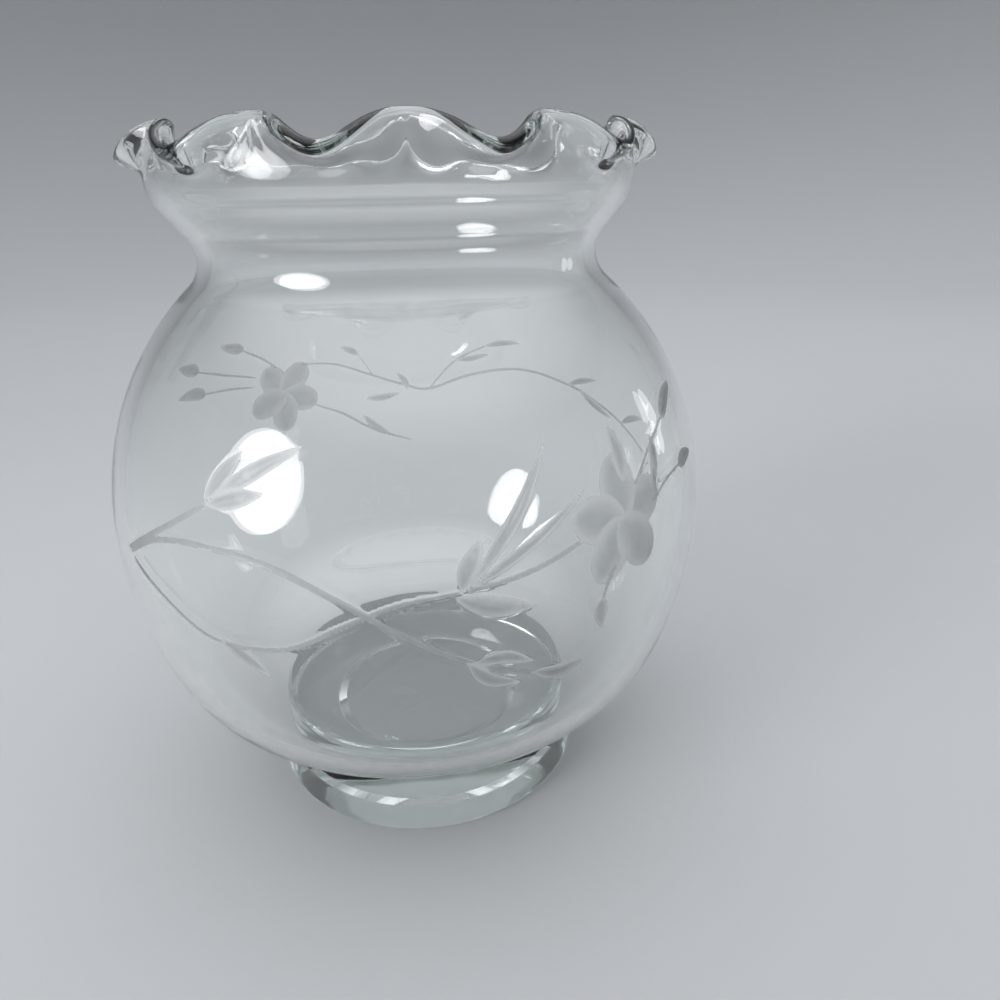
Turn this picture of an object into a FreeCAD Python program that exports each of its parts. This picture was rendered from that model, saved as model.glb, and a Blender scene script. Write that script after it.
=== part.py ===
import FreeCAD, Part
import math
import os
import Sketcher

# Rose bowl vase of clear blown glass, in millimetres, +Z up.
# The origin is the centre of the ring that the foot stands on.

# Driving lengths
LENGTHS = {
    "wall": 3.0,
    "foot_radius": 40.7,
    "foot_height": 21.2,
    "foot_edge": 1.5,
    "foot_shoulder_step": 1.6,
    "foot_shoulder_curve": 4.2,
    "seat_radius": 37.8,
    "dish_radius": 26.0,
    "dish_depth": 1.2,
    "dish_bevel": 2.4,
    "globe_radius": 70.0,
    "belly_rise": 54.4,
    "flank_curve": 92.0,
    "neck_radius": 44.2,
    "neck_curve": 7.5,
    "collar_step": 7.7,
    "collar_curve": 10.0,
    "lip_rise": 8.0,
    "lip_spread": 0.9,
    "rim_wall": 2.8,
    "crimp_swing": 4.0,
    "crimp_swing_peak": 0.55,
    "crimp_lift": 2.8,
    "crimp_lift_peak": 0.5,
    "cut_overrun": 2.0,
}

# Driving angles in degrees, and the number of crimps round the rim
ANGLES = {
    "heel_angle": 21.4,
    "flare_angle": 50.0,
    "lip_lean": 65.0,
    "lip_lean_swing": 40.0,
}
COUNTS = {
    "crimp_count": 12,
}

# Sizes that follow from the driving ones
DERIVED = {
    # the foot: a dish underneath, a tapered side, and a shoulder that rolls in to the seat
    "dish_floor_radius": "dish_radius - dish_bevel",
    "foot_base_radius": "foot_radius - foot_edge",
    "foot_shoulder_radius": "seat_radius + foot_shoulder_step",
    "foot_shoulder_drop": "sqrt(foot_shoulder_curve^2 - (foot_shoulder_curve - foot_shoulder_step)^2)",
    "foot_shoulder_height": "foot_height - foot_shoulder_drop",
    # the globe: a sphere above its equator, a flatter flank below, then a heel that turns in to the seat
    "equator_height": "foot_height + belly_rise",
    "flank_centre": "globe_radius - flank_curve",
    "heel_out": "cos(heel_angle)",
    "heel_down": "sin(heel_angle)",
    "heel_radius": "flank_centre + flank_curve * heel_out",
    "heel_height": "equator_height - flank_curve * heel_down",
    "heel_reach": "(heel_radius - seat_radius) * heel_out - (heel_height - foot_height) * heel_down",
    "heel_span": "(heel_radius - seat_radius)^2 + (heel_height - foot_height)^2",
    "heel_curve": "heel_span / (2 * heel_reach)",
    "floor_radius": "heel_radius - heel_curve * heel_out",
    "floor_height": "heel_height + heel_curve * heel_down - heel_curve + wall",
    # the neck: a hollow curve that leaves the sphere without a corner
    "neck_centre": "neck_radius + neck_curve",
    "shoulder_reach": "globe_radius + neck_curve",
    "shoulder_out": "neck_centre / shoulder_reach",
    "shoulder_up": "sqrt(1 - shoulder_out^2)",
    "neck_height": "equator_height + shoulder_reach * shoulder_up",
    "shoulder_radius": "globe_radius * shoulder_out",
    "shoulder_height": "equator_height + globe_radius * shoulder_up",
    # the flare and the collar above it
    "flare_out": "sin(flare_angle)",
    "flare_down": "cos(flare_angle)",
    "flare_radius": "neck_centre - neck_curve * flare_out",
    "flare_height": "neck_height + neck_curve * flare_down",
    "collar_radius": "neck_radius + collar_step",
    "knee_radius": "collar_radius - collar_curve * (1 - flare_out)",
    "knee_height": "flare_height + (knee_radius - flare_radius) * flare_out / flare_down",
    "collar_height": "knee_height + collar_curve * flare_down",
    # the inside wall, one wall thickness in from the outside along its normal
    "inner_heel_curve": "heel_curve - wall",
    "inner_heel_radius": "heel_radius - wall * heel_out",
    "inner_heel_height": "heel_height + wall * heel_down",
    "inner_flank_curve": "flank_curve - wall",
    "inner_globe_radius": "globe_radius - wall",
    "inner_shoulder_radius": "shoulder_radius - wall * shoulder_out",
    "inner_shoulder_height": "shoulder_height - wall * shoulder_up",
    "inner_neck_curve": "neck_curve + wall",
    "inner_flare_radius": "flare_radius - wall * flare_out",
    "inner_flare_height": "flare_height + wall * flare_down",
    "inner_knee_radius": "knee_radius - wall * flare_out",
    "inner_knee_height": "knee_height + wall * flare_down",
    "inner_collar_curve": "collar_curve - wall",
    "inner_collar_radius": "collar_radius - wall",
    "mouth_overrun": "collar_height + cut_overrun",
}

# How the crimped lip's curve is steered, as shares of its own rise and wall
LIP_BASE_PULL_SHARE = 0.45
LIP_TIP_PULL_SHARE = 0.45
ROUND_EDGE_SHARE = 2.0 / 3.0
POINTS_PER_CRIMP = 12

doc = FreeCAD.newDocument("RoseBowlVase")
sheet = doc.addObject("Spreadsheet::Sheet", "Sizes")


# The sheet: driving sizes as plain numbers, then the sizes worked out from them
def fill_sheet():
    cells = {name: str(value) for name, value in (LENGTHS | ANGLES | COUNTS).items()}
    cells |= {name: "=" + formula for name, formula in DERIVED.items()}
    for row, (name, content) in enumerate(cells.items(), start=1):
        sheet.set(f"A{row}", name)
        sheet.set(f"B{row}", content)
        sheet.setAlias(f"B{row}", name)
    doc.recompute()


def size(name):
    return float(sheet.get(name)) if name else 0.0


# One bent edge of an outline: the arc through two corners with a named radius.
# A turn of 1 bends it anticlockwise on the way from start to end, and -1 clockwise.
def arc_edge(start, end, radius, turn):
    half = (end - start) * 0.5
    middle = start + half
    left = FreeCAD.Vector(-half.y, half.x, 0).normalize()
    depth = math.sqrt(max(radius ** 2 - half.Length ** 2, 0.0))
    centre = middle + left * depth * turn
    first, last = (start, end) if turn > 0 else (end, start)
    angles = [math.atan2(p.y - centre.y, p.x - centre.x) for p in (first, last)]
    if angles[1] < angles[0]:
        angles[1] += 2 * math.pi
    circle = Part.Circle(centre, FreeCAD.Vector(0, 0, 1), radius)
    return Part.ArcOfCircle(circle, angles[0], angles[1])


# A closed outline on the body's upright plane, its corners and radii bound to the sheet.
# Each corner is (radius name, height name), None for zero; each edge is None or (radius name, turn).
def bound_outline(body, name, corners, edges):
    plane = next(f for f in body.Origin.OriginFeatures if f.Role == "XZ_Plane")
    sketch = body.newObject("Sketcher::SketchObject", name)
    sketch.AttachmentSupport = [(plane, "")]
    sketch.MapMode = "FlatFace"
    points = [FreeCAD.Vector(size(across), size(up), 0) for across, up in corners]
    starts = []
    for index, edge in enumerate(edges):
        start = points[index]
        end = points[(index + 1) % len(points)]
        if edge is None:
            sketch.addGeometry(Part.LineSegment(start, end), False)
            starts.append((1, 2))
        else:
            radius, turn = edge
            sketch.addGeometry(arc_edge(start, end, size(radius), turn), False)
            starts.append((1, 2) if turn > 0 else (2, 1))
            number = sketch.addConstraint(Sketcher.Constraint("Radius", index, size(radius)))
            sketch.renameConstraint(number, f"edge{index}")
            sketch.setExpression(f"Constraints.edge{index}", f"Sizes.{radius}")
    for index in range(len(edges)):
        before = (index - 1) % len(edges)
        sketch.addConstraint(
            Sketcher.Constraint("Coincident", before, starts[before][1], index, starts[index][0]))
    for index, corner in enumerate(corners):
        bind_corner(sketch, index, starts[index][0], corner)
    return sketch


def bind_corner(sketch, index, end, corner):
    for way, alias, axis in (("DistanceX", corner[0], -2), ("DistanceY", corner[1], -1)):
        if alias is None:
            sketch.addConstraint(Sketcher.Constraint("PointOnObject", index, end, axis))
            continue
        number = sketch.addConstraint(Sketcher.Constraint(way, -1, 1, index, end, size(alias)))
        sketch.renameConstraint(number, f"corner{index}{way[-1]}")
        sketch.setExpression(f"Constraints.corner{index}{way[-1]}", f"Sizes.{alias}")


# Turns an outline round the upright axis, as solid glass or as the hollow taken out of it
def turned(body, kind, name, sketch):
    feature = body.newObject(f"PartDesign::{kind}", name)
    feature.Profile = sketch
    feature.ReferenceAxis = (sketch, ["V_Axis"])
    feature.Angle = 360.0
    sketch.Visibility = False
    doc.recompute()
    return feature


# The foot: a solid disc of clear glass with a tapered side and a shallow ground dish underneath
def make_foot():
    body = doc.addObject("PartDesign::Body", "FootBody")
    body.Label = "foot"
    corners = [
        (None, "dish_depth"),
        ("dish_floor_radius", "dish_depth"),
        ("dish_radius", None),
        ("foot_base_radius", None),
        ("foot_radius", "foot_edge"),
        ("foot_shoulder_radius", "foot_shoulder_height"),
        ("seat_radius", "foot_height"),
        (None, "foot_height"),
    ]
    edges = [None, None, None, ("foot_edge", 1), None, ("foot_shoulder_curve", 1), None, None]
    turned(body, "Revolution", "FootGlass", bound_outline(body, "FootOutline", corners, edges))
    return body


# The blown wall: globe, waisted neck and collar, as one turned solid with its hollow taken out
def make_blown_wall():
    body = doc.addObject("PartDesign::Body", "WallBody")
    body.Label = "blown_wall"
    outside = [
        (None, "foot_height"),
        ("seat_radius", "foot_height"),
        ("heel_radius", "heel_height"),
        ("globe_radius", "equator_height"),
        ("shoulder_radius", "shoulder_height"),
        ("flare_radius", "flare_height"),
        ("knee_radius", "knee_height"),
        ("collar_radius", "collar_height"),
        (None, "collar_height"),
    ]
    outside_edges = [
        None, ("heel_curve", 1), ("flank_curve", 1), ("globe_radius", 1), ("neck_curve", -1),
        None, ("collar_curve", 1), None, None,
    ]
    turned(body, "Revolution", "WallGlass", bound_outline(body, "WallOutline", outside, outside_edges))
    hollow = [
        (None, "floor_height"),
        ("floor_radius", "floor_height"),
        ("inner_heel_radius", "inner_heel_height"),
        ("inner_globe_radius", "equator_height"),
        ("inner_shoulder_radius", "inner_shoulder_height"),
        ("inner_flare_radius", "inner_flare_height"),
        ("inner_knee_radius", "inner_knee_height"),
        ("inner_collar_radius", "collar_height"),
        ("inner_collar_radius", "mouth_overrun"),
        (None, "mouth_overrun"),
    ]
    hollow_edges = [
        None, ("inner_heel_curve", 1), ("inner_flank_curve", 1), ("inner_globe_radius", 1),
        ("inner_neck_curve", -1), None, ("inner_collar_curve", 1), None, None, None,
    ]
    turned(body, "Groove", "Hollow", bound_outline(body, "HollowOutline", hollow, hollow_edges))
    return body


# The crimped rim at one turn angle: its radius, height and lean, and how much the wave thickens a level cut
def crimp(angle):
    count = round(size("crimp_count"))
    wave = count * angle
    radius = (size("collar_radius") + size("lip_spread") - size("crimp_swing") * math.cos(wave)
              - size("crimp_swing_peak") * math.cos(2 * wave))
    slope = count * (size("crimp_swing") * math.sin(wave) + 2 * size("crimp_swing_peak") * math.sin(2 * wave))
    height = (size("collar_height") + size("lip_rise") + size("crimp_lift") * math.cos(wave)
              - size("crimp_lift_peak") * math.cos(2 * wave))
    lean = math.radians(size("lip_lean") + size("lip_lean_swing") * math.cos(wave))
    return radius, height, lean, math.hypot(1.0, slope / radius)


# The lip's wall at one turn angle, from the collar's outside over the round edge to its inside:
# three cubic spans of (radius, height), sharing their end points
def lip_section(angle):
    radius, height, lean, thickening = crimp(angle)
    out, up = math.cos(lean), math.sin(lean)
    half_rim = size("rim_wall") / 2
    half_wall = size("wall") / 2
    base_radius = size("collar_radius") - half_wall
    base_height = size("collar_height")
    rise = height - base_height
    base = (base_radius, base_height)
    base_pull = (base_radius, base_height + LIP_BASE_PULL_SHARE * rise)
    tip = (radius - half_rim * out, height - half_rim * up)
    tip_pull = (tip[0] - LIP_TIP_PULL_SHARE * rise * out, tip[1] - LIP_TIP_PULL_SHARE * rise * up)
    level = half_rim * thickening
    edge = ROUND_EDGE_SHARE * size("rim_wall")
    outside = [(base[0] + half_wall, base[1]), (base_pull[0] + half_wall, base_pull[1]),
               (tip_pull[0] + level * up, tip_pull[1] - level * out), (tip[0] + level * up, tip[1] - level * out)]
    inside = [(tip[0] - level * up, tip[1] + level * out), (tip_pull[0] - level * up, tip_pull[1] + level * out),
              (base_pull[0] - half_wall, base_pull[1]), (base[0] - half_wall, base[1])]
    over = [(outside[-1][0] + edge * out, outside[-1][1] + edge * up),
            (inside[0][0] + edge * out, inside[0][1] + edge * up)]
    return outside + over + inside


# The lip as a solid: one smooth surface closed round the axis, and the level ring where it meets the collar
def make_crimped_lip():
    steps = round(size("crimp_count")) * POINTS_PER_CRIMP
    sections = [lip_section(2 * math.pi * step / steps) for step in range(steps)]
    rings = []
    for row in range(len(sections[0])):
        points = []
        for step, section in enumerate(sections):
            angle = 2 * math.pi * step / steps
            across, up = section[row]
            points.append(FreeCAD.Vector(across * math.cos(angle), across * math.sin(angle), up))
        ring = Part.BSplineCurve()
        ring.interpolate(Points=points, PeriodicFlag=True)
        rings.append(ring)
    knots = rings[0].getKnots()
    surface = Part.BSplineSurface()
    surface.buildFromPolesMultsKnots(
        [ring.getPoles() for ring in rings], [4, 3, 3, 4], rings[0].getMultiplicities(),
        [0.0, 1.0, 2.0, 3.0], knots, False, True, 3, 3)
    skin = surface.toShape()
    ends = [Part.Wire([surface.uIso(at).toShape()]) for at in (0.0, 3.0)]
    seat = Part.Face(ends)
    shell = Part.makeShell([skin, seat])
    shell.sewShape()
    solid = Part.makeSolid(shell)
    if solid.Volume < 0:
        solid.reverse()
    lip = doc.addObject("Part::Feature", "CrimpedLip")
    lip.Shape = solid
    lip.Label = "crimped_lip"
    return lip


# The bowl is one piece of glass: the lip is the top of the blown wall, softened and crimped
def make_bowl():
    bowl = doc.addObject("Part::Fuse", "Bowl")
    bowl.Base = make_blown_wall()
    bowl.Tool = make_crimped_lip()
    bowl.Label = "bowl"
    doc.recompute()
    return bowl


def check(pieces):
    for item in doc.Objects:
        if "Invalid" in item.State or "Error" in item.State:
            raise RuntimeError(f"{item.Label} did not build: {item.State}")
    for piece in pieces:
        if piece.Shape.isNull() or not piece.Shape.isValid() or len(piece.Shape.Solids) != 1:
            raise RuntimeError(f"{piece.Label} is not one valid solid")


def export(pieces):
    os.makedirs("parts", exist_ok=True)
    for piece in pieces:
        piece.Shape.exportStep(f"parts/{piece.Label}.step")
        box = piece.Shape.BoundBox
        print(f"{piece.Label}: volume {piece.Shape.Volume:.0f}, height {box.ZMin:.2f} to {box.ZMax:.2f}, "
              f"width {box.XLength:.2f}")


fill_sheet()
pieces = [make_foot(), make_bowl()]
check(pieces)
export(pieces)
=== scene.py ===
import math

import bpy
import numpy as np
from mathutils import Matrix, Vector


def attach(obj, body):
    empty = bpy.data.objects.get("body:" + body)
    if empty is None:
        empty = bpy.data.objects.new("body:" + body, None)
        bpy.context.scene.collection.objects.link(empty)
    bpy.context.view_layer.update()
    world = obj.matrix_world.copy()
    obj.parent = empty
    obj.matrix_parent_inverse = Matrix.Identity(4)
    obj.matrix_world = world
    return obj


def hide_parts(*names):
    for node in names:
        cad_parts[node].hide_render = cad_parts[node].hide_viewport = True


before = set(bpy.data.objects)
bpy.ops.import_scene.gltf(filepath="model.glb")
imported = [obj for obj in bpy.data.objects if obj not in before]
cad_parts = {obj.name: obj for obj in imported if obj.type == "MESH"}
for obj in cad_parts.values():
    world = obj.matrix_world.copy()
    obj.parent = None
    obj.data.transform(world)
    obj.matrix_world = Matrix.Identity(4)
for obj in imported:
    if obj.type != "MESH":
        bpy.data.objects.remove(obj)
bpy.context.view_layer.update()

MM = 0.001
TAU = 2 * math.pi


# The studio: a plain pale sweep all round, its floor just under the vase's standing ring, so that
# the thin film of air under real glass is there too. A soft oval lamp stands behind the camera's
# left shoulder and a small one off to the right. The rest is the air above, brightest overhead.
FLOOR_DROP = 0.1 * MM
SWEEP_RADIUS = 1.5
SWEEP_CURVE = 0.5
SWEEP_TOP = 0.85
SWEEP_SIDES, SWEEP_STEPS = 96, 8
SWEEP_SMOOTH = math.radians(40)
PALE_STAGE = (0.47, 0.48, 0.49, 1)
MOTTLE_SCALE, MOTTLE_DETAIL, MOTTLE_DIM = 9.0, 3.0, 0.97
PAINT_ROUGHNESS = 0.9
SKY_LOW = (0.20, 0.205, 0.215, 1)
SKY_HIGH = (1.88, 1.92, 1.98, 1)
SKY_TURN = 0.45


class Wire:
    """A socket that adds and multiplies like a number, each step as one Math node."""

    def __init__(self, finish, socket):
        self.finish = finish
        self.socket = socket

    def maths(self, operation, first, second=0.0):
        return self.finish.node("Math", {"operation": operation}, {0: first, 1: second})

    def __add__(self, other):
        return self.maths("ADD", self, other)

    def __radd__(self, other):
        return self.maths("ADD", other, self)

    def __sub__(self, other):
        return self.maths("SUBTRACT", self, other)

    def __rsub__(self, other):
        return self.maths("SUBTRACT", other, self)

    def __mul__(self, other):
        return self.maths("MULTIPLY", self, other)

    def __rmul__(self, other):
        return self.maths("MULTIPLY", other, self)


class Finish:
    """One node tree being built: every node but the maths comes from node()."""

    def __init__(self, tree):
        self.tree = tree
        tree.nodes.clear()

    def node(self, kind, settings=None, sockets=None, out=0):
        made = self.tree.nodes.new("ShaderNode" + kind)
        for name, value in (settings or {}).items():
            setattr(made, name, value)
        for name, value in (sockets or {}).items():
            if isinstance(value, Wire):
                self.tree.links.new(value.socket, made.inputs[name])
            else:
                made.inputs[name].default_value = value
        return Wire(self, made.outputs[out]) if made.outputs else None

    def colour_mix(self, amount, first, second):
        return self.node("Mix", {"data_type": "RGBA"}, {0: amount, 6: first, 7: second}, out=2)

    def step(self, value, low, high):
        return self.node("MapRange", {"interpolation_type": "SMOOTHSTEP"},
                         {"Value": value, "From Min": low, "From Max": high})


def new_finish(name):
    material = bpy.data.materials.new(name)
    material.use_nodes = True
    return material, Finish(material.node_tree)


def deselect():
    for thing in bpy.context.selected_objects:
        thing.select_set(False)


deselect()
bpy.ops.mesh.primitive_circle_add(vertices=SWEEP_SIDES, radius=SWEEP_RADIUS - SWEEP_CURVE,
                                  fill_type="NGON", location=(0, 0, -FLOOR_DROP))
sweep = bpy.context.object
sweep.name = "pale_sweep"
bpy.ops.object.mode_set(mode="EDIT")
bpy.ops.mesh.select_all(action="SELECT")
bpy.ops.mesh.region_to_loop()
reach = SWEEP_RADIUS - SWEEP_CURVE
height = 0.0
for step in range(1, SWEEP_STEPS + 2):
    turn = min(step / SWEEP_STEPS, 1.0) * math.pi / 2
    next_reach = SWEEP_RADIUS - SWEEP_CURVE + SWEEP_CURVE * math.sin(turn)
    next_height = SWEEP_CURVE * (1 - math.cos(turn)) if step <= SWEEP_STEPS else SWEEP_TOP
    bpy.ops.mesh.extrude_edges_move(TRANSFORM_OT_translate={"value": (0, 0, next_height - height)})
    bpy.ops.transform.resize(value=(next_reach / reach, next_reach / reach, 1))
    reach, height = next_reach, next_height
bpy.ops.mesh.select_all(action="SELECT")
bpy.ops.mesh.normals_make_consistent(inside=True)
bpy.ops.object.mode_set(mode="OBJECT")
bpy.ops.object.shade_smooth_by_angle(angle=SWEEP_SMOOTH)
bpy.ops.object.transform_apply(location=True, rotation=True, scale=True)

material, paint = new_finish("matt_pale_paint")
place = paint.node("TexCoord", out=3)
mottle = paint.node("TexNoise", {}, {"Vector": place, "Scale": MOTTLE_SCALE, "Detail": MOTTLE_DETAIL})
dimmer = tuple(MOTTLE_DIM * part for part in PALE_STAGE[:3]) + (1,)
colour = paint.colour_mix(mottle, PALE_STAGE, dimmer)
coat = paint.node("BsdfPrincipled", {}, {"Base Color": colour, "Roughness": PAINT_ROUGHNESS})
paint.node("OutputMaterial", {}, {"Surface": coat})
sweep.data.materials.append(material)

world = bpy.data.worlds.new("studio_air")
bpy.context.scene.world = world
world.use_nodes = True
air = Finish(world.node_tree)
up = air.node("SeparateXYZ", {}, {"Vector": air.node("TexCoord", out=0)}, out=2)
sky = air.colour_mix(air.step(up, SKY_TURN, 1.0), SKY_LOW, SKY_HIGH)
air.node("OutputWorld", {}, {"Surface": air.node("Background", {}, {"Color": sky, "Strength": 1.0})})

# Name, azimuth and elevation in degrees, distance, width, height, spread in degrees, watts
LAMPS = (
    ("left_lamp", -149, 16, 1.0, 0.52, 0.58, 60, 0.88),
    ("right_lamp", 14, 6, 1.0, 0.10, 0.30, 180, 0.17),
)
LOOK_AT = Vector((0, 0, 80 * MM))
for name, azimuth, elevation, distance, width, tall, spread, watts in LAMPS:
    turned, raised = math.radians(azimuth), math.radians(elevation)
    level = math.cos(raised)
    away = Vector((math.cos(turned) * level, math.sin(turned) * level, math.sin(raised)))
    bpy.ops.object.light_add(type="AREA", location=LOOK_AT + away * distance,
                             rotation=away.to_track_quat("Z", "Y").to_euler())
    lamp = bpy.context.object
    lamp.name = name
    lamp.data.shape = "ELLIPSE"
    lamp.data.size = width
    lamp.data.size_y = tall
    lamp.data.spread = math.radians(spread)
    lamp.data.energy = watts
    lamp.visible_camera = False


# The camera: close to the vase, a little above its middle and tipped down into the globe. Light may
# bounce often enough to pass through every skin of the glass.
CAMERA_PLACE = Vector((21.62, -187.05, 148.66)) * MM
CAMERA_TURN = math.radians(-9.16)
CAMERA_PITCH = math.radians(22.54)
CAMERA_ROLL = math.radians(-1.02)
SENSOR_WIDTH, LENS = 36, 28.12
bpy.ops.object.camera_add()
camera = bpy.context.object
camera.name = "photo_camera"
camera.data.sensor_width = SENSOR_WIDTH
camera.data.lens = LENS
camera.matrix_world = (
    Matrix.Rotation(CAMERA_TURN, 4, "Z") @ Matrix.Translation(CAMERA_PLACE)
    @ Matrix.Rotation(math.pi / 2 - CAMERA_PITCH, 4, "X") @ Matrix.Rotation(CAMERA_ROLL, 4, "Z"))
scene = bpy.context.scene
scene.camera = camera
scene.view_settings.view_transform = "Standard"
scene.cycles.max_bounces = 32
scene.cycles.transmission_bounces = 32
scene.cycles.glossy_bounces = 12
scene.cycles.transparent_max_bounces = 16


# The bowl: one bubble of clear soda-lime glass, with a flat seat, a globe, a waisted neck and a
# collar. Its lip was softened in the fire and pressed into twelve even waves, and the fire left
# its edge round and thick.
WALL = 3.0
SEAT_RADIUS, SEAT_HEIGHT = 37.8, 21.2
GLOBE_RADIUS, EQUATOR = 70.0, 75.6
FLANK_CURVE = 92.0
HEEL_ANGLE = math.radians(21.4)
NECK_RADIUS, NECK_CURVE = 44.2, 7.5
FLARE = math.radians(50)
COLLAR_RADIUS, COLLAR_CURVE = 51.9, 10.0
LIP_RISE, LIP_SPREAD, RIM_WALL = 8.0, 0.9, 2.8
CRIMPS = 12
CRIMP_SWING, CRIMP_SWING_PEAK = 4.0, 0.55
CRIMP_LIFT, CRIMP_LIFT_PEAK = 2.8, 0.5
LIP_LEAN, LIP_LEAN_SWING = 65.0, 40.0
LIP_PULL = 0.45
TURN_STEPS = 27 * CRIMPS
LIP_ROWS, EDGE_ROWS = 8, 8
CUT_TOP = 112.0
MERGE, LIP_FROM = 0.002, 0.01
BOWL_SMOOTH = math.radians(50)

# Rows of faces up the heel, flank, globe, shoulder, neck and collar
OUTER_ROWS = (10, 25, 28, 7, 10, 4)
INNER_ROWS = (9, 9, 10, 4, 9, 4)

flank_centre = GLOBE_RADIUS - FLANK_CURVE
heel_radius = flank_centre + FLANK_CURVE * math.cos(HEEL_ANGLE)
heel_height = EQUATOR - FLANK_CURVE * math.sin(HEEL_ANGLE)
heel_out, heel_up = heel_radius - SEAT_RADIUS, heel_height - SEAT_HEIGHT
heel_curve = (heel_out ** 2 + heel_up ** 2) / (
    2 * (heel_out * math.cos(HEEL_ANGLE) - heel_up * math.sin(HEEL_ANGLE)))
heel_centre = (heel_radius - heel_curve * math.cos(HEEL_ANGLE),
               heel_height + heel_curve * math.sin(HEEL_ANGLE))
seat_turn = math.atan2(SEAT_HEIGHT - heel_centre[1], SEAT_RADIUS - heel_centre[0])
neck_centre = NECK_RADIUS + NECK_CURVE
shoulder_turn = math.acos(neck_centre / (GLOBE_RADIUS + NECK_CURVE))
neck_height = EQUATOR + (GLOBE_RADIUS + NECK_CURVE) * math.sin(shoulder_turn)
flare_radius = neck_centre - NECK_CURVE * math.sin(FLARE)
flare_height = neck_height + NECK_CURVE * math.cos(FLARE)
knee_radius = COLLAR_RADIUS - COLLAR_CURVE * (1 - math.sin(FLARE))
knee_height = flare_height + (knee_radius - flare_radius) * math.tan(FLARE)
collar_height = knee_height + COLLAR_CURVE * math.cos(FLARE)


def arc(centre, radius, start, end, rows):
    """Points of an arc in the upright half plane, without its first one."""
    turns = [start + (end - start) * row / rows for row in range(1, rows + 1)]
    return [(centre[0] + radius * math.cos(turn), centre[1] + radius * math.sin(turn)) for turn in turns]


def wall_outline(inset, heel_start, rows):
    """The wall's outline from its heel up to the top of the collar, inset from the outside."""
    heel_rows, flank_rows, globe_rows, shoulder_rows, neck_rows, collar_rows = rows
    globe = GLOBE_RADIUS - inset
    cut_turn = math.asin((CUT_TOP - EQUATOR) / GLOBE_RADIUS)
    return (arc(heel_centre, heel_curve - inset, heel_start, -HEEL_ANGLE, heel_rows)
            + arc((flank_centre, EQUATOR), FLANK_CURVE - inset, -HEEL_ANGLE, 0, flank_rows)
            + arc((0, EQUATOR), globe, 0, cut_turn, globe_rows)
            + arc((0, EQUATOR), globe, cut_turn, shoulder_turn, shoulder_rows)
            + arc((neck_centre, neck_height), NECK_CURVE + inset, math.pi + shoulder_turn,
                  math.pi / 2 + FLARE, neck_rows)
            + arc((COLLAR_RADIUS - COLLAR_CURVE, collar_height), COLLAR_CURVE - inset,
                  FLARE - math.pi / 2, 0, collar_rows))


def spun(name, outline):
    """A solid of revolution: the outline is drawn as a curve, made a mesh and spun once round."""
    deselect()
    bpy.ops.curve.primitive_nurbs_path_add()
    drawn = bpy.context.object
    drawn.name = name
    drawn.data.splines.clear()
    line = drawn.data.splines.new("POLY")
    line.points.add(len(outline) - 1)
    for point, (across, height) in zip(line.points, outline):
        point.co = (across * MM, 0, height * MM, 1)
    bpy.ops.object.convert(target="MESH")
    bpy.ops.object.mode_set(mode="EDIT")
    bpy.ops.mesh.select_all(action="SELECT")
    bpy.ops.mesh.spin(steps=TURN_STEPS, angle=TAU, center=(0, 0, 0), axis=(0, 0, 1))
    bpy.ops.mesh.select_all(action="SELECT")
    bpy.ops.mesh.remove_doubles(threshold=MERGE * MM)
    bpy.ops.mesh.normals_make_consistent(inside=False)
    bpy.ops.object.mode_set(mode="OBJECT")
    return bpy.context.object


def points_of(piece):
    """A mesh's points in millimetres."""
    points = np.empty(len(piece.data.vertices) * 3)
    piece.data.vertices.foreach_get("co", points)
    return points.reshape(-1, 3) / MM


def set_points(piece, points):
    piece.data.vertices.foreach_set("co", (points * MM).ravel())
    piece.data.update()


lip_top = collar_height + LIP_RISE
half_wall = WALL / 2
outside = [(0, SEAT_HEIGHT), (SEAT_RADIUS - WALL, SEAT_HEIGHT), (SEAT_RADIUS, SEAT_HEIGHT)]
outside += wall_outline(0, seat_turn, OUTER_ROWS)
band = [(COLLAR_RADIUS, collar_height + LIP_RISE * row / LIP_ROWS) for row in range(1, LIP_ROWS + 1)]
band += arc((COLLAR_RADIUS - half_wall, lip_top), half_wall, 0, math.pi, EDGE_ROWS)
band += [(COLLAR_RADIUS - WALL, lip_top - LIP_RISE * row / LIP_ROWS) for row in range(1, LIP_ROWS)]
inside = [(0, heel_centre[1] - heel_curve + WALL), (heel_centre[0], heel_centre[1] - heel_curve + WALL)]
inside += wall_outline(WALL, -math.pi / 2, INNER_ROWS)
bowl = spun("blown_bowl", outside + band + inside[::-1])

# The lip: the upright band above the collar is bent wave by wave, along three spans of curve
points = points_of(bowl)
across = np.hypot(points[:, 0], points[:, 1])
turn = np.arctan2(points[:, 1], points[:, 0])
lip = points[:, 2] > collar_height + LIP_FROM
over_edge = np.arctan2(points[:, 2] - lip_top, across - COLLAR_RADIUS + half_wall) / math.pi
climb = (points[:, 2] - collar_height) / LIP_RISE
upright = np.where(across > COLLAR_RADIUS - half_wall, climb, 3 - climb)
along = np.where(climb > 1, 1 + over_edge, upright)[lip]

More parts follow.
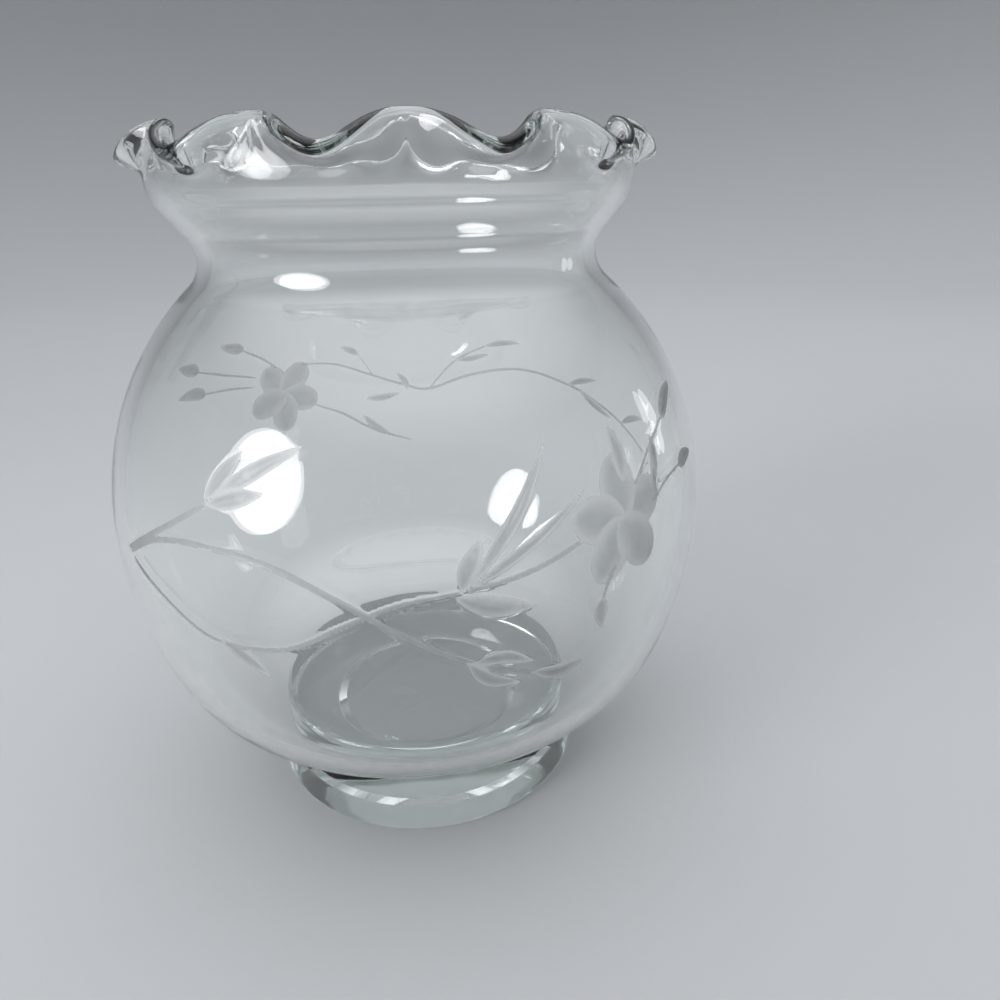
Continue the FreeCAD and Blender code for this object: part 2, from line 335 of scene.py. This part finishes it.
wave = CRIMPS * turn[lip]
tip_radius = (COLLAR_RADIUS + LIP_SPREAD - CRIMP_SWING * np.cos(wave)
              - CRIMP_SWING_PEAK * np.cos(2 * wave))
tip_height = lip_top + CRIMP_LIFT * np.cos(wave) - CRIMP_LIFT_PEAK * np.cos(2 * wave)
slope = CRIMPS * (CRIMP_SWING * np.sin(wave) + 2 * CRIMP_SWING_PEAK * np.sin(2 * wave))
lean = np.radians(LIP_LEAN + LIP_LEAN_SWING * np.cos(wave))
outward, upward = np.cos(lean), np.sin(lean)
level = RIM_WALL / 2 * np.hypot(1, slope / tip_radius)
pull = LIP_PULL * (tip_height - collar_height)
rim_middle = (tip_radius - RIM_WALL / 2 * outward, tip_height - RIM_WALL / 2 * upward)
rim_pull = (rim_middle[0] - pull * outward, rim_middle[1] - pull * upward)
base = COLLAR_RADIUS - half_wall + 0 * wave
edge = RIM_WALL * 2 / 3


def side(place, sign):
    return place[0] + sign * level * upward, place[1] - sign * level * outward


def beyond(place):
    return place[0] + edge * outward, place[1] + edge * upward


spans = [(base + half_wall, collar_height + 0 * wave), (base + half_wall, collar_height + pull),
         side(rim_pull, 1), side(rim_middle, 1),
         beyond(side(rim_middle, 1)), beyond(side(rim_middle, -1)),
         side(rim_middle, -1), side(rim_pull, -1),
         (base - half_wall, collar_height + pull), (base - half_wall, collar_height + 0 * wave)]
spans = np.array([np.broadcast_arrays(*place) for place in spans])
first = np.clip(np.floor(along), 0, 2).astype(int)
part = along - first
weights = np.array([(1 - part) ** 3, 3 * part * (1 - part) ** 2, 3 * part ** 2 * (1 - part), part ** 3])
bent = sum(weights[k][:, None] * spans[3 * first + k, :, np.arange(len(part))] for k in range(4))
points[lip] = np.column_stack([
    bent[:, 0] * np.cos(turn[lip]), bent[:, 0] * np.sin(turn[lip]), bent[:, 1]])
set_points(bowl, points)


# The cut sprays: flowers, leaves, buds and stems ground into the outside of the globe on small stone
# wheels and left grey, in the usual way of cut table glass. Each stroke is one touch of the wheel,
# a shallow groove with a matt floor, deepest in its middle.

# Faces within EDGE_MARGIN of a stroke's edge are split. A stroke that lies over another keeps a soft
# BORDER round it, a rim of painted light on the stroke beneath. SKIN_REACH tells the globe's outside
# from its inside. All are in millimetres.
EDGE_MARGIN = 1.1
BORDER = 0.7
SKIN_REACH, SKIN_ABOVE = WALL / 3, 2.0
PETAL_START = -0.05
STEM_DEPTH, LEAF_DEPTH, BUD_DEPTH, PETAL_DEPTH = 0.16, 0.42, 0.40, 0.30
STEM_POINTS, LEAF_POINTS, BUD_POINTS, PETAL_POINTS = 12, 24, 20, 16
NARROW = 1.0
CUT_SPLITS = 2
FAR, LOOK_ROUND = 9.0, 3

# The section of a stroke, by the wheel's edge: a V-shaped mitre or a rounded hollow
MITRE, HOLLOW = 1.0, 2.0


def outer_radius(height):
    """The globe's outside radius at a height, between the heel and the shoulder."""
    flank = flank_centre + np.sqrt(FLANK_CURVE ** 2 - (EQUATOR - np.minimum(height, EQUATOR)) ** 2)
    globe = np.sqrt(np.maximum(GLOBE_RADIUS ** 2 - (height - EQUATOR) ** 2, 0))
    return np.where(height < EQUATOR, flank, globe)


def on_globe(places, count):
    """A smooth line on the glass through (azimuth in degrees, height) places."""
    places = np.array([places[0]] + list(places) + [places[-1]], dtype=float)
    places[0], places[-1] = 2 * places[1] - places[2], 2 * places[-2] - places[-3]
    line = []
    for at in np.linspace(0, len(places) - 3, count):
        index = min(int(at), len(places) - 4)
        part = at - index
        a, b, c, d = places[index:index + 4]
        line.append(0.5 * (2 * b + (c - a) * part + (2 * a - 5 * b + 4 * c - d) * part ** 2
                           + (3 * b - 3 * c + d - a) * part ** 3))
    line = np.array(line)
    azimuth = np.radians(line[:, 0])
    radius = outer_radius(line[:, 1])
    return np.column_stack([radius * np.cos(azimuth), radius * np.sin(azimuth), line[:, 1]])


# How a stroke's half width runs from its start, 0, to its end, 1
def stem_width(share):
    return 0.55 + 0.45 * np.sin(math.pi * np.clip(share, 0, 1)) ** 0.5


def leaf_width(share):
    return np.sin(math.pi * np.clip(share, 0, 1) ** 0.85) ** 0.9


def petal_width(share):
    return np.sqrt(np.clip(1 - (2 * share - 1) ** 2, 0, 1)) * (0.86 + 0.14 * share)


def bud_width(share):
    return np.sin(math.pi * np.clip(share, 0, 1) ** 0.6) ** 0.8


STROKES = []


def stem(places, width=1.0):
    line = on_globe(places, STEM_POINTS * len(places))
    STROKES.append((line, width / 2, stem_width, STEM_DEPTH, MITRE))


def leaf(places, width):
    STROKES.append((on_globe(places, LEAF_POINTS), width / 2, leaf_width, LEAF_DEPTH, MITRE))


def bud(places, width):
    STROKES.append((on_globe(places, BUD_POINTS), width / 2, bud_width, BUD_DEPTH, MITRE))


def flower(azimuth, height, petals, length, width, turn):
    """A ring of round petals that overlap at the middle."""
    per_degree = math.radians(1) * float(outer_radius(np.array(height)))
    for petal in range(petals):
        way = math.radians(turn + 360 * petal / petals)
        out, up = math.cos(way) / per_degree, math.sin(way)
        reaches = (PETAL_START * length, (1 + PETAL_START) / 2 * length, length)
        places = [(azimuth + out * reach, height + up * reach) for reach in reaches]
        STROKES.append((on_globe(places, PETAL_POINTS), width / 2, petal_width, PETAL_DEPTH, HOLLOW))


# The front spray, rising from a joint at the left to the flower at the right
stem([(-147, 81), (-138, 86.5), (-127, 88.5), (-115, 87), (-104, 81), (-94, 73), (-84, 66),
      (-75, 61.5)], 1.4)
leaf([(-76, 62), (-71, 60.4), (-65.5, 61.2)], 3.4)
leaf([(-85.5, 67), (-80.5, 67.2), (-75.5, 64.6)], 2.9)
leaf([(-86.5, 67.2), (-83, 62.6), (-77.5, 60.2)], 3.2)
stem([(-148, 81.5), (-135, 90), (-125.5, 96.5)], 1.2)
leaf([(-126.5, 96.5), (-123.3, 101.5), (-120, 105.8)], 3.2)
leaf([(-124.5, 97.5), (-117.3, 102.8), (-109.5, 107.2)], 3.2)
leaf([(-126, 95.8), (-121, 97.6), (-115.5, 99.2)], 3.5)
stem([(-146, 80), (-137, 75), (-129, 70.5), (-124, 69.5)], 1.0)
leaf([(-125.3, 70.4), (-121.2, 67.6), (-116.8, 63.5)], 3.0)
stem([(-124, 69.2), (-113, 71), (-104, 76.5), (-96, 80.5), (-87, 82)], 1.1)
leaf([(-87, 82), (-85.5, 87), (-83.5, 91)], 3.8)
leaf([(-86, 82.5), (-78, 94), (-71, 106)], 2.6)
leaf([(-86, 82.2), (-75, 89.5), (-65, 96.5)], 2.3)
leaf([(-88, 81), (-82, 78.4), (-75.5, 77)], 4.4)
stem([(-86, 82), (-76, 84), (-66, 87.5)], 1.1)
flower(-58.5, 88, 5, 12.6, 10.0, 20)
stem([(-54.5, 94), (-48, 99.5), (-40.5, 103.5)], 0.8)
bud([(-41.5, 103), (-36.5, 106), (-31, 107.7)], 3.6)
leaf([(-57, 95.5), (-57, 100.5), (-58, 105.5)], 3.2)
leaf([(-49.8, 91.8), (-48, 96.5), (-47.3, 101.5)], 3.0)
stem([(-50, 89), (-45, 91.5), (-38, 92.5)], 0.8)
bud([(-39, 92.4), (-35, 93), (-30.5, 92.6)], 3.5)
stem([(-60.5, 80), (-62.5, 76.5), (-63.5, 73)], 0.8)
bud([(-63.4, 73.8), (-63.6, 70.5), (-63, 67)], 3.4)

# The back spray, from its flower round to the right
flower(123, 87.5, 5, 12.2, 9.6, 55)
stem([(125.5, 97.5), (131, 101.8), (137.6, 105.5)], 0.8)
bud([(136.8, 105.3), (141.5, 107), (146.2, 108.8)], 3.6)
stem([(131.6, 95.4), (142, 98.9), (153.2, 103)], 0.8)
bud([(152.6, 102.8), (157.3, 104.8), (163.2, 106.7)], 4.0)
stem([(132.2, 92.4), (140.6, 94), (149.2, 95)], 0.8)
bud([(148.4, 94.8), (153.7, 96.4), (159.8, 96.8)], 4.2)
stem([(118, 97), (108, 95.2), (97.8, 90), (89.6, 86.1), (82, 84), (70, 89), (55, 92), (40, 89), (25, 83),
      (8, 74)], 1.0)
stem([(97.5, 90), (99.5, 94), (101.5, 97.6)], 0.6)
leaf([(101.3, 97.6), (104, 99.7), (107, 101)], 2.2)
leaf([(88, 84), (88.6, 87), (91, 90.4)], 2.0)
leaf([(99.8, 81.7), (95.1, 81.7), (90, 83)], 2.3)
leaf([(101, 76), (97.3, 71.5), (93, 68)], 2.4)
stem([(114, 82), (106, 77), (97, 70), (88, 66)], 0.9)
stem([(82, 84), (74, 94), (64, 100)], 0.8)
leaf([(74, 94), (69, 95), (63.5, 96.8)], 2.0)
leaf([(64.5, 99.6), (59, 101), (53, 101.6)], 2.1)
leaf([(40, 89), (35, 91.3), (29, 93)], 2.1)
leaf([(36, 87.6), (30.5, 83.8), (24.5, 81)], 2.3)
leaf([(21, 81.2), (16.5, 84), (11, 86)], 2.1)
leaf([(10, 75.2), (4.3, 72.2), (-2, 70)], 2.3)


def cut_fields(places):
    """For each place: how far inside the cut it is, how near to a stroke's edge, the cut's depth, and
    how near to the middle of the stroke on top, from 0 to 1, which sets where light is painted at the
    strokes' edges."""
    inside_by = np.full(len(places), -FAR)
    edge_near = np.full(len(places), FAR)
    depth = np.zeros(len(places))
    middle = np.zeros(len(places))
    for line, half_width, width_along, deepest, roundness in STROKES:
        low = line.min(axis=0) - half_width - LOOK_ROUND
        high = line.max(axis=0) + half_width + LOOK_ROUND
        near = np.nonzero(((places > low) & (places < high)).all(axis=1))[0]
        if not len(near):
            continue
        starts, runs = line[:-1], np.diff(line, axis=0)
        lengths = np.linalg.norm(runs, axis=1)
        begun = np.concatenate([[0], np.cumsum(lengths)])
        best = np.full(len(near), np.inf)
        share = np.zeros(len(near))
        for k, (start, run, length) in enumerate(zip(starts, runs, lengths)):
            onto = np.clip((places[near] - start) @ run / length ** 2, 0, 1)
            away = np.linalg.norm(places[near] - start - onto[:, None] * run, axis=1)
            closer = away < best
            best[closer] = away[closer]
            share[closer] = (begun[k] + onto[closer] * length) / begun[-1]
        within = half_width * width_along(share) - best
        inside_by[near] = np.maximum(inside_by[near], within)
        narrow = half_width < NARROW
        to_edge = np.where(within > 0, 0 if narrow else within, -within)
        edge_near[near] = np.minimum(edge_near[near], to_edge)
        fill = np.clip(within / half_width, 0, 1)
        shape = fill if roundness == MITRE else 1 - (1 - fill) ** roundness
        depth[near] = np.maximum(depth[near], deepest * shape)
        fade = 1.0 if narrow else np.clip(-within / BORDER, 0, 1)
        middle[near] = np.where(within > 0, 1.0 if narrow else fill, middle[near] * fade)
    return inside_by, edge_near, depth, middle


centres = np.empty(len(bowl.data.polygons) * 3)
bowl.data.polygons.foreach_get("center", centres)
centres = centres.reshape(-1, 3) / MM
off_skin = np.abs(np.hypot(centres[:, 0], centres[:, 1]) - outer_radius(centres[:, 2]))
on_outside = (off_skin < SKIN_REACH) & (centres[:, 2] > heel_height) & (centres[:, 2] < CUT_TOP)
wanted = np.zeros(len(centres), dtype=bool)
wanted[on_outside] = cut_fields(centres[on_outside])[1] < EDGE_MARGIN
bowl.data.vertices.foreach_set("select", np.zeros(len(bowl.data.vertices), dtype=bool))
bowl.data.edges.foreach_set("select", np.zeros(len(bowl.data.edges), dtype=bool))
bowl.data.polygons.foreach_set("select", wanted)
bpy.context.tool_settings.mesh_select_mode = (False, False, True)
bpy.ops.object.mode_set(mode="EDIT")
bpy.ops.mesh.subdivide(number_cuts=CUT_SPLITS)
bpy.ops.object.mode_set(mode="OBJECT")

points = points_of(bowl)
across = np.hypot(points[:, 0], points[:, 1])
skin = np.nonzero((np.abs(across - outer_radius(points[:, 2])) < SKIN_REACH)
                  & (points[:, 2] > heel_height) & (points[:, 2] < CUT_TOP + SKIN_ABOVE))[0]
radius = outer_radius(points[skin, 2])
points[skin, :2] *= (radius / across[skin])[:, None]
inside_by, _, depth, middle = cut_fields(points[skin])
below = points[skin, 2] < EQUATOR
inward = points[skin] - (0, 0, EQUATOR)
inward[below, :2] *= ((radius[below] - flank_centre) / radius[below])[:, None]
inward /= -np.linalg.norm(inward, axis=1)[:, None]
points[skin] += inward * depth[:, None]
set_points(bowl, points)
for name, plain, found in (("cut", -FAR, inside_by), ("middle", 0.0, middle)):
    values = np.full(len(points), plain)
    values[skin] = found
    bowl.data.attributes.new(name, "FLOAT", "POINT").data.foreach_set("value", values)
deselect()
bowl.select_set(True)
bpy.context.view_layer.objects.active = bowl
bpy.ops.object.shade_smooth_by_angle(angle=BOWL_SMOOTH)

# The glass of both pieces, and how far the see-through skin reaches from the fused face and its edge
GLASS_TINT, GLASS_BEND = (0.993, 1.0, 0.997, 1), 1.5
GLASS_DEPTHS, GLASS_DENSITY = (0.45, 0.92, 0.72, 1), 1.3
GROUND_ROUGHNESS = 0.55
FUSED_NEAR, FUSED_FAR = 0.02, 0.03
FUSED_EDGE_IN, FUSED_EDGE_OUT = 0.15, 0.1

# The looks of the bowl: noise scales per metre, and heights in metres
SWAY_SCALE, SWAY_HEIGHT = 34.0, 0.00012
GRIT_SCALE, GRIT_HEIGHT, GRIT_STRENGTH = 5200.0, 0.00004, 0.8
CLOUD_SCALE = 420.0
# The cut's grey is the ground glass's own tone, clouded at random. The paler edge colour is painted
# light: a pale rim along each wide stroke's edge and round a stroke that lies over another. It stands in
# for the light caught on the groove's sloping sides and on the ridges between strokes.
GREY_LOW, GREY_HIGH, EDGE_PAINTED_LIGHT = (0.46, 0.48, 0.48, 1), (0.62, 0.64, 0.63, 1), (0.90, 0.91, 0.90, 1)
CUT_CLEARNESS = 0.75
CUT_FADE_LOW, CUT_FADE_HIGH, PAINTED_EDGE_REACH = -0.06, 0.14, 0.8
MATT_LEVEL, MATT_DEEP, MATT_CLOUD = 0.98, 0.22, 0.12


def unfused(finish, place, height):
    """0 on the hot-fused face at that height, where no skin parts the two pieces, and 1 elsewhere."""
    flat = finish.node("VectorMath", {"operation": "MULTIPLY"}, {0: place, 1: (1, 1, 0)})
    reach = finish.node("VectorMath", {"operation": "LENGTH"}, {0: flat}, out=1)
    rise = finish.node("SeparateXYZ", {}, {"Vector": place}, out=2)
    apart = rise.maths("ABSOLUTE", rise - height * MM)
    edge_in, edge_out = (SEAT_RADIUS - FUSED_EDGE_IN) * MM, (SEAT_RADIUS - FUSED_EDGE_OUT) * MM
    return 1 - (1 - finish.step(apart, FUSED_NEAR * MM, FUSED_FAR * MM)) * (
        1 - finish.step(reach, edge_in, edge_out))


def clear_glass(finish, rough, normal, alpha):
    return finish.node("BsdfPrincipled", {}, {
        "Base Color": GLASS_TINT, "Roughness": rough, "IOR": GLASS_BEND, "Transmission Weight": 1.0,
        "Normal": normal, "Alpha": alpha})


def ground_glass(finish, colour, clearness, normal):
    return finish.node("BsdfPrincipled", {}, {
        "Base Color": colour, "Roughness": GROUND_ROUGHNESS, "IOR": GLASS_BEND,
        "Transmission Weight": clearness, "Normal": normal})


def glass_output(finish, surface):
    body = finish.node("VolumeAbsorption", {}, {"Color": GLASS_DEPTHS, "Density": GLASS_DENSITY})
    finish.node("OutputMaterial", {}, {"Surface": surface, "Volume": body})


material, glass = new_finish("cut_clear_glass")
place = glass.node("TexCoord", out=3)
sway = glass.node("TexNoise", {}, {"Vector": place, "Scale": SWAY_SCALE, "Detail": 1.0})
blown = glass.node("Bump", {}, {"Height": sway, "Distance": SWAY_HEIGHT, "Strength": 1.0})
polished = clear_glass(glass, 0.0, blown, unfused(glass, place, SEAT_HEIGHT))
cut_in = glass.node("Attribute", {"attribute_name": "cut"}, {}, out=2)
mask = glass.step(cut_in, CUT_FADE_LOW, CUT_FADE_HIGH)
grit = glass.node("TexNoise", {}, {"Vector": place, "Scale": GRIT_SCALE, "Detail": 2.0})
cloud = glass.node("TexNoise", {}, {"Vector": place, "Scale": CLOUD_SCALE, "Detail": 3.0})
grain = glass.node("Bump", {}, {"Height": grit, "Distance": GRIT_HEIGHT, "Strength": GRIT_STRENGTH})
# Painted light: towards a wide stroke's edge, the cut turns from its grey to the pale edge colour.
past_painted_edge = glass.step(glass.node("Attribute", {"attribute_name": "middle"}, {}, out=2), 0.0, PAINTED_EDGE_REACH)
grey = glass.colour_mix(cloud, GREY_LOW, GREY_HIGH)
grey = glass.colour_mix(past_painted_edge, EDGE_PAINTED_LIGHT, grey)
matt = ground_glass(glass, grey, CUT_CLEARNESS, grain)
cloudy = mask * (MATT_LEVEL - MATT_DEEP * past_painted_edge + MATT_CLOUD * cloud)
surface = glass.node("MixShader", {}, {0: cloudy, 1: polished, 2: matt})
glass_output(glass, surface)
bowl.data.materials.clear()
bowl.data.materials.append(material)
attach(bowl, "root")
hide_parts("bowl")


# The foot: a thick solid disc of the same clear glass, dropped on hot and shaped while it turned.
# Its shoulder rolls in to the globe's seat, and a shallow dish with a bevelled edge was ground into
# its base and polished, so that it stands on a ring whose face the stone left partly matt.
FOOT_RADIUS, FOOT_EDGE = 40.7, 1.5
DISH_RADIUS, DISH_DEPTH, DISH_BEVEL = 26.0, 1.2, 2.4
SHOULDER_STEP, SHOULDER_CURVE = 1.6, 4.2
SEAT_BITE = 0.05
EDGE_STEPS, ROLL_STEPS = 7, 8
FOOT_SMOOTH = math.radians(20)
PRESSED_SCALE, PRESSED_HEIGHT = 60.0, 0.00008
RING_GROUND, RING_CLEARNESS = 0.35, 0.4
RING_COLOUR = (0.94, 0.97, 0.95, 1)
RING_FADE_LOW, RING_FADE_HIGH = 0.05, 0.25
shoulder_drop = math.sqrt(SHOULDER_CURVE ** 2 - (SHOULDER_CURVE - SHOULDER_STEP) ** 2)
shoulder_centre = (SEAT_RADIUS + SHOULDER_STEP - SHOULDER_CURVE, SEAT_HEIGHT - shoulder_drop)
underside = [(0, DISH_DEPTH), (DISH_RADIUS - DISH_BEVEL, DISH_DEPTH), (DISH_RADIUS, 0)]
side_wall = arc((FOOT_RADIUS - FOOT_EDGE, FOOT_EDGE), FOOT_EDGE, -math.pi / 2, 0, EDGE_STEPS)
roll_turn = math.atan2(shoulder_drop, SHOULDER_CURVE - SHOULDER_STEP)
rim_roll = arc(shoulder_centre, SHOULDER_CURVE, 0, roll_turn, ROLL_STEPS)
foot_outline = underside + [(FOOT_RADIUS - FOOT_EDGE, 0)] + side_wall
foot_outline += [(shoulder_centre[0] + SHOULDER_CURVE, shoulder_centre[1])] + rim_roll
foot_outline += [(SEAT_RADIUS, SEAT_HEIGHT + SEAT_BITE), (0, SEAT_HEIGHT + SEAT_BITE)]
foot = spun("solid_foot", foot_outline)
bpy.ops.object.shade_smooth_by_angle(angle=FOOT_SMOOTH)

material, glass = new_finish("foot_clear_glass")
place = glass.node("TexCoord", out=3)
sway = glass.node("TexNoise", {}, {"Vector": place, "Scale": PRESSED_SCALE, "Detail": 1.0})
pressed = glass.node("Bump", {}, {"Height": sway, "Distance": PRESSED_HEIGHT, "Strength": 1.0})
low = glass.node("SeparateXYZ", {}, {"Vector": place}, out=2)
standing = RING_GROUND * (1 - glass.step(low, RING_FADE_LOW * MM, RING_FADE_HIGH * MM))
polished = clear_glass(glass, 0.0, pressed, unfused(glass, place, SEAT_HEIGHT + SEAT_BITE))
matt = ground_glass(glass, RING_COLOUR, RING_CLEARNESS, pressed)
glass_output(glass, glass.node("MixShader", {}, {0: standing, 1: polished, 2: matt}))
foot.data.materials.clear()
foot.data.materials.append(material)
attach(foot, "root")
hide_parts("foot")
